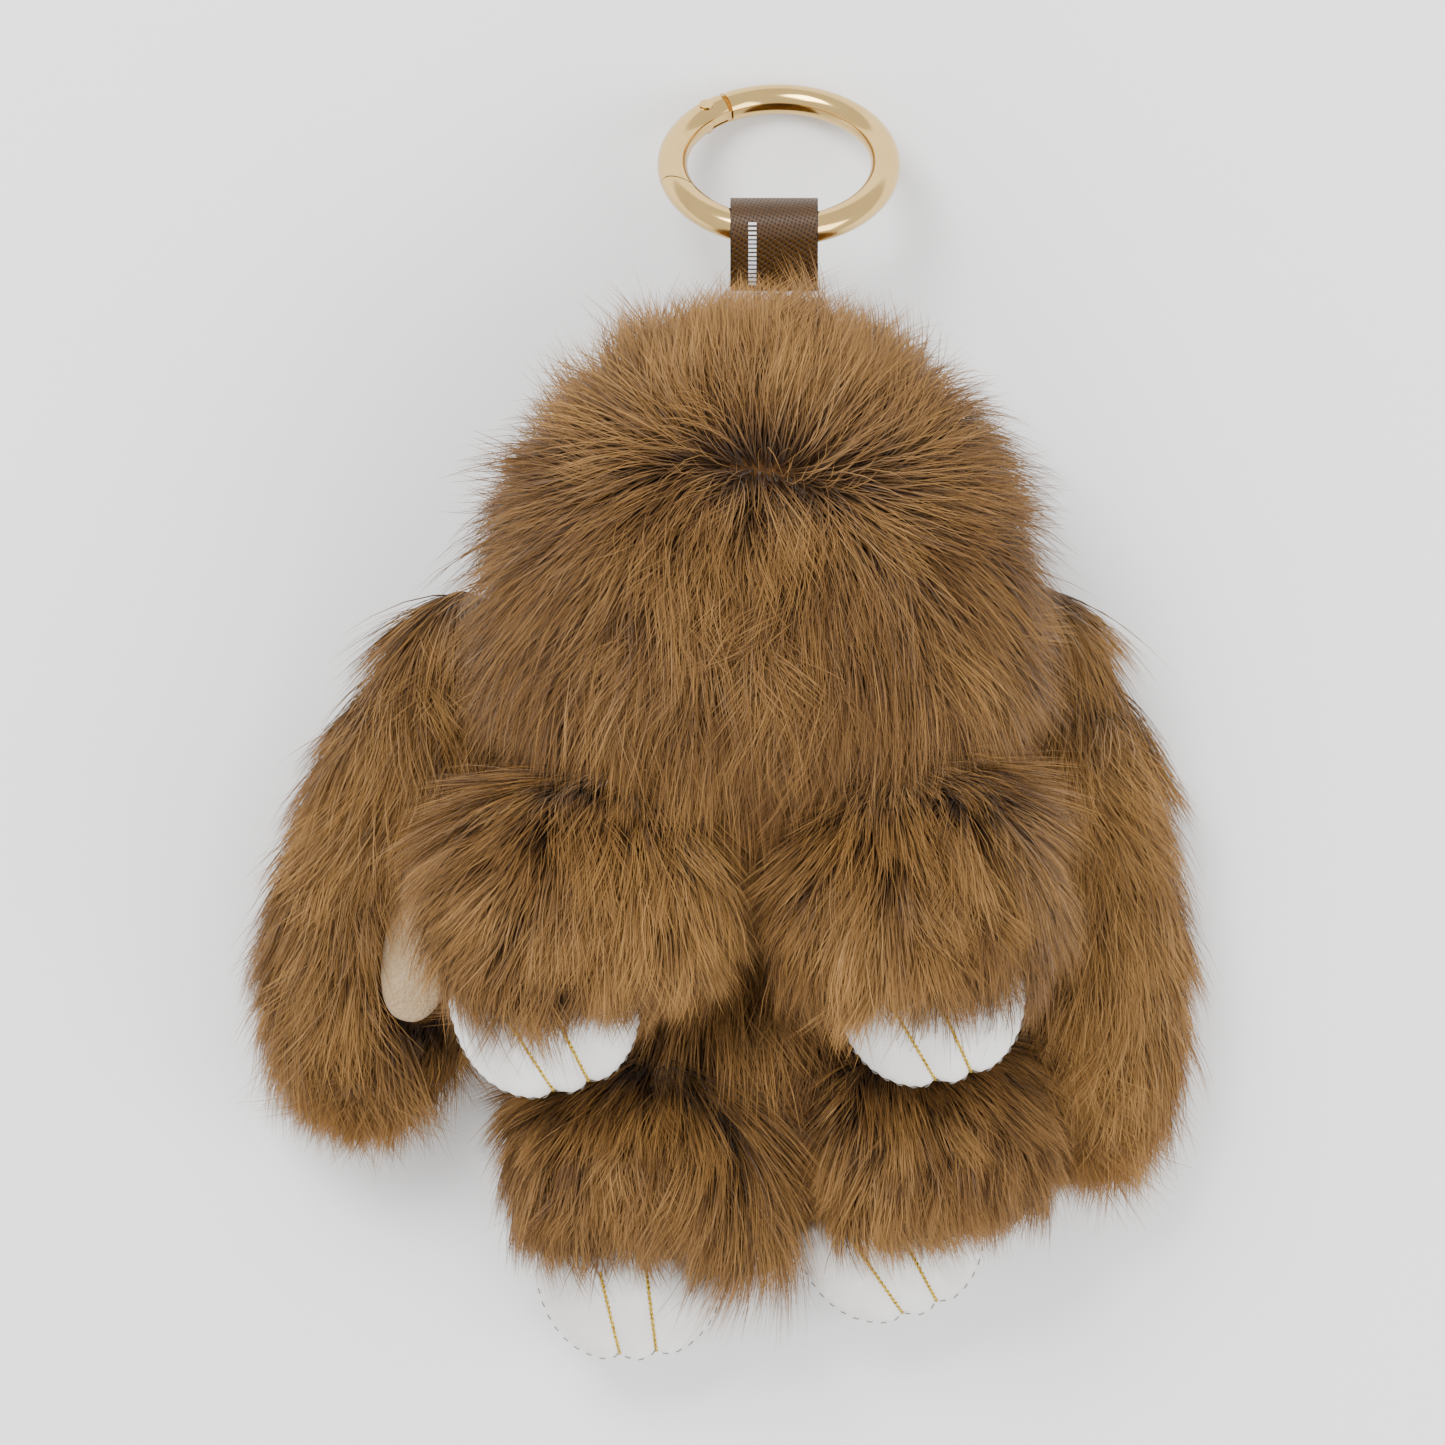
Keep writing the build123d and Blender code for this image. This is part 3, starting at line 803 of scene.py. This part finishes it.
def leather_panel(name, facts, up, body):
    """The upper (up = 1) or the sole (up = -1) of a paw."""
    climbs = np.linspace(0, math.pi / 2, dome_rows) ** 1.15 / (math.pi / 2) ** 0.15
    rows = []
    for climb in climbs:
        flat, rise = math.cos(climb), np.full(seam_points, math.sin(climb) * up)
        ways = np.stack([np.cos(seam_turns) * flat, np.sin(seam_turns) * flat, rise], -1)
        rows.append(paw_surface(ways, facts["lean"]))
    points = np.array(rows)
    # puckers beside the seam, and the seam itself drawn in
    depth = np.exp(-np.arange(dome_rows) / 3.5)[:, None]
    pucker = 0.16 * np.sin(seam_turns * 46 + 1.3 * np.sin(seam_turns * 7))[None, :] * depth
    pinch = 0.3 * np.exp(-np.arange(dome_rows) / 1.6)[:, None]
    out = unit(points - paw_middle)
    points = points + out * (pucker - pinch)[..., None]
    points[..., 2] += up * 0.02
    faces = grid_faces(dome_rows, seam_points, True)
    placed = from_paw(points, facts).reshape(-1, 3)
    piece = new_piece(name, placed, faces, leather_finish.material)
    if up < 0:
        piece.data.flip_normals()
    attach(piece, body)
    return piece


for limb, facts in paws.items():
    upper = leather_panel(f"{limb}_paw_top", facts, 1, limb)
    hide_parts(f"{limb}_paw_upper")
    sole = leather_panel(f"{limb}_paw_base", facts, -1, limb)
    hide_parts(f"{limb}_paw_sole")
    reach = (paw_half_width - 2.5, paw_half_width - 2.5, paw_front - 3, paw_back - 1, 4.2, 4.2)
    core = Cushion(facts["cuff"], reach, facts["yaw"])
    filling = cushion_piece(f"{limb}_paw_filling", core, limb)
    filling.data.materials[0] = stuffing_finish.material
    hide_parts(f"{limb}_paw_stuffing")
print("paws", paw_half_width * 2, "mm wide")

# %% [markdown]
# ## Gold threads and seam stitches
#
# Each gold thread is two metallic strands twisted together, laid in the crease between two toes. The
# seam stitches are short dark dashes, half sunk in the leather.


# %% Threads
def rope(path, radius, strands, lay, sides=8, phase=0.0):
    """Twisted strands along a path of points, as points and faces. lay is one turn's length."""
    path = np.asarray(path, float)
    tangent = unit(np.gradient(path, axis=0))
    side = unit(np.cross(tangent, [0.13, 0.21, 0.97]))
    other = np.cross(tangent, side)
    run = np.concatenate([[0], np.cumsum(np.linalg.norm(np.diff(path, axis=0), axis=1))])
    points, faces = [], []
    for strand in range(strands):
        turn = 2 * math.pi * (run / lay + strand / strands) + phase
        core = path + radius * 0.55 * (np.cos(turn)[:, None] * side + np.sin(turn)[:, None] * other)
        ring = np.linspace(0, 2 * math.pi, sides, endpoint=False)
        tube = core[:, None] + radius * 0.62 * (
            np.cos(ring)[None, :, None] * side[:, None] + np.sin(ring)[None, :, None] * other[:, None]
        )
        first = len(points) * len(path) * sides
        points.append(tube.reshape(-1, 3))
        faces += [tuple(first + index for index in face) for face in grid_faces(len(path), sides, True)]
        faces += [tuple(first + index for index in range(sides))[::-1]]
        faces += [tuple(first + (len(path) - 1) * sides + index for index in range(sides))]
    return np.concatenate(points), faces


thread_finish = Finish("gold_thread", Metallic=0.85)
glint = thread_finish.speckle(0.22 * mm, 3)
thread_colour = thread_finish.mix(glint.spread(0.35, 0.65), paint(120, 92, 20), paint(238, 206, 84))
thread_finish.use(thread_colour, 0.28 + 0.25 * glint)
stitch_finish = Finish("seam_thread", Roughness=0.8)
ply = stitch_finish.speckle(0.2 * mm, 2)
stitch_finish.use(stitch_finish.mix(ply, paint(84, 80, 74), paint(128, 122, 112)))
thread_radius = 0.24
stitch_every = 1.9
stitch_long = 0.8

for limb, facts in paws.items():
    points, faces = [], []
    for offset in (-1, 1):
        climbs = np.radians(np.linspace(1, 96, 90))
        ways = np.stack([np.zeros(90), -np.cos(climbs), np.sin(climbs)], -1)
        # from the top of the paw forwards and down to the seam, along its crease
        path = paw_surface(ways, facts["lean"])
        for _ in range(6):
            path[:, 0] = thread_line(path, offset, facts["lean"])
            path = paw_surface(unit(path - paw_middle), facts["lean"])
        path = path + unit(path - paw_middle) * thread_radius * 0.3
        got, more = rope(from_paw(path, facts), thread_radius, 2, 1.5)
        base = sum(len(block) for block in points)
        points.append(got)
        faces += [tuple(base + index for index in face) for face in more]
    threads = new_piece(f"{limb}_gold_threads", np.concatenate(points), faces, thread_finish.material)
    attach(threads, limb)
    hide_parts(f"{limb}_paw_threads")

    # seam stitches round the front of the paw, where the two panels meet
    turns = np.radians(np.linspace(182, 358, 700))
    edge = paw_surface(np.stack([np.cos(turns), np.sin(turns), np.full(700, 0.05)], -1), facts["lean"])
    run = np.concatenate([[0], np.cumsum(np.linalg.norm(np.diff(edge, axis=0), axis=1))])
    points, faces = [], []
    for count in range(int(run[-1] / stitch_every)):
        begin = (count + 0.5) * stitch_every
        spots = [np.interp(begin + step, run, edge[:, axis]) for step in np.linspace(0, stitch_long, 6)
                 for axis in range(3)]
        path = np.array(spots).reshape(6, 3) + [0, 0, 0.55]
        path[:, 2] += 0.12 * np.sin(np.linspace(0, math.pi, 6))
        got, more = rope(from_paw(path, facts), 0.13, 1, 3, 6)
        base = sum(len(block) for block in points)
        points.append(got)
        faces += [tuple(base + index for index in face) for face in more]
    stitches = new_piece(f"{limb}_seam_stitches", np.concatenate(points), faces, stitch_finish.material)
    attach(stitches, limb)
    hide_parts(f"{limb}_paw_stitching")
    print(limb, "threads and", int(run[-1] / stitch_every), "stitches")

# %% [markdown]
# ## Ring, strap and hidden pieces
#
# The hard pieces stay as the mechanical model made them, and only take a finish.

# %% Metals
gold_finish = Finish("gold_plate", Metallic=1.0, Roughness=0.16)
wear = gold_finish.speckle(3 * mm, 3)
gold_finish.use(
    gold_finish.mix(wear, paint(204, 168, 104), paint(218, 184, 120)), 0.1 + 0.08 * wear
)
steel_finish = Finish("spring_steel", Metallic=1.0)
drawn = steel_finish.speckle(0.4 * mm, 2)
steel_colour = steel_finish.mix(drawn, paint(150, 150, 152), paint(190, 190, 192))
steel_finish.use(steel_colour, 0.25 + 0.2 * drawn)


def coat(finish, *names):
    """Give nodes of the mechanical model a finish."""
    for name in names:
        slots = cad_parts[name].material_slots
        for slot in slots:
            slot.material = finish.material


coat(gold_finish, "ring_body", "ring_gate", "gate_pin")
coat(steel_finish, "gate_push_pin", "gate_spring")

# %% [markdown]
# ### Cross-grain leather
#
# The strap is calf leather pressed with fine slanting ribs, so that rows of small pits run
# across it, and its cut sides are painted black. The pits are where two slanting waves are both low.
# The pits are dented by a bump, and painted shade darkens their colour.

# %% Strap leather
strap_low, strap_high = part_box("strap_cover")
strap_middle = (strap_low[0] + strap_high[0]) / 2
strap_half = (strap_high[0] - strap_low[0]) / 2
rib = 0.62 * mm

strap_finish = Finish("cross_grain_leather", Specular_IOR_Level=0.4)
across_strap, along_strap, up_strap = strap_finish.apart(strap_finish.place())
wobble = strap_finish.speckle(2 * mm, 2) * (0.5 * mm)
along_fold = along_strap - up_strap * 0.5
slant = 2 * math.pi / rib
first_wave = ((across_strap * 0.5 + along_fold + wobble) * slant).sine()
second_wave = ((across_strap * 1.15 - along_fold * 0.35 + wobble) * slant).sine()
# the pits: dents for the bump and roughness, and where painted shade darkens the colour
pits_and_pit_shade = (first_wave * 0.5 + second_wave * 0.5).spread(-0.75, -0.1)
hue = strap_finish.speckle(4 * mm, 3)
grain_colour = strap_finish.mix(hue, paint(62, 42, 18), paint(80, 55, 26))
# painted shade: the colour is darker in the pits
grain_colour = strap_finish.mix(pits_and_pit_shade, paint(38, 24, 10), grain_colour)
cut_edge = (across_strap - strap_middle).size() > strap_half - 0.12 * mm
strap_finish.use(
    strap_finish.mix(cut_edge, grain_colour, paint(30, 28, 28)), 0.5 - 0.15 * pits_and_pit_shade, pits_and_pit_shade, 0.09 * mm
)
lining_finish = Finish("strap_lining_cloth", Roughness=0.85)
cloth_x, cloth_y, _ = lining_finish.apart(lining_finish.place())
thread_pitch = 2 * math.pi / (0.4 * mm)
weave = ((cloth_x * thread_pitch).sine() * (cloth_y * thread_pitch).sine()).spread(-0.6, 0.6)
lining_colour = lining_finish.mix(weave, paint(58, 42, 26), paint(84, 62, 40))
lining_finish.use(lining_colour, None, weave, 0.05 * mm)
tick_finish = Finish("pale_strap_thread", Roughness=0.7)
fibre = tick_finish.speckle(0.15 * mm, 2)
tick_colour = tick_finish.mix(fibre, paint(206, 206, 214), paint(240, 240, 244))
tick_finish.use(tick_colour, None, fibre, 0.03 * mm)
coat(strap_finish, "strap_cover")
coat(lining_finish, "strap_lining")
coat(tick_finish, "strap_stitching")
coat(stuffing_finish, "head_stuffing", "body_stuffing")
print("coated", sum(len(node.material_slots) > 0 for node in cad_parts.values()), "nodes")
